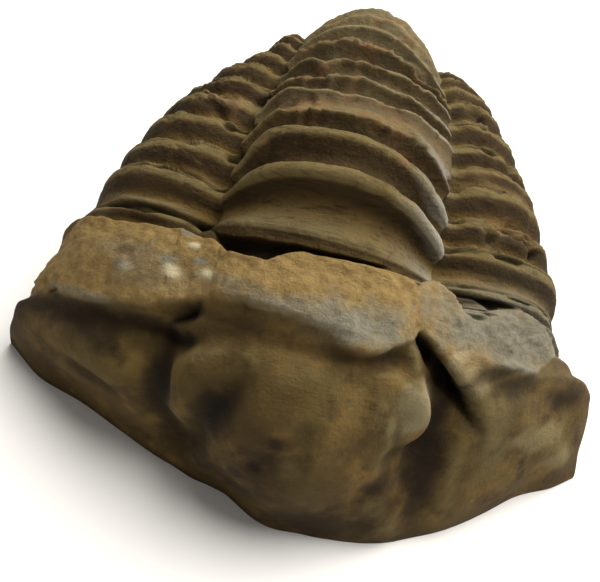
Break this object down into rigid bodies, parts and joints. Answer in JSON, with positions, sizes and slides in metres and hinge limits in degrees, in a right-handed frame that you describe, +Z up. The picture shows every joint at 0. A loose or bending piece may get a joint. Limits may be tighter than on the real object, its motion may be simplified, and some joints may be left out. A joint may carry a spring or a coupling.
{
  "type": "trilobite fossil",
  "caption": "Loose brown trilobite fossil with a steep lobed head, an arched ribbed back and a tail curled down to its flat underside; lies on a shelf or desk.",
  "frame": {"origin": "middle of the flat underside", "axes": "+Z up, -Y the way the head looks, +X to the right of someone facing the head"},
  "size_m": [0.0541, 0.0615, 0.0264],
  "materials": {
    "fossil_stone": "matte, weathered brown limestone with ochre rock on the neck"
  },
  "bodies": {
    "root": {"trilobite_fossil": "fossil_stone"}
  },
  "joints": []
}
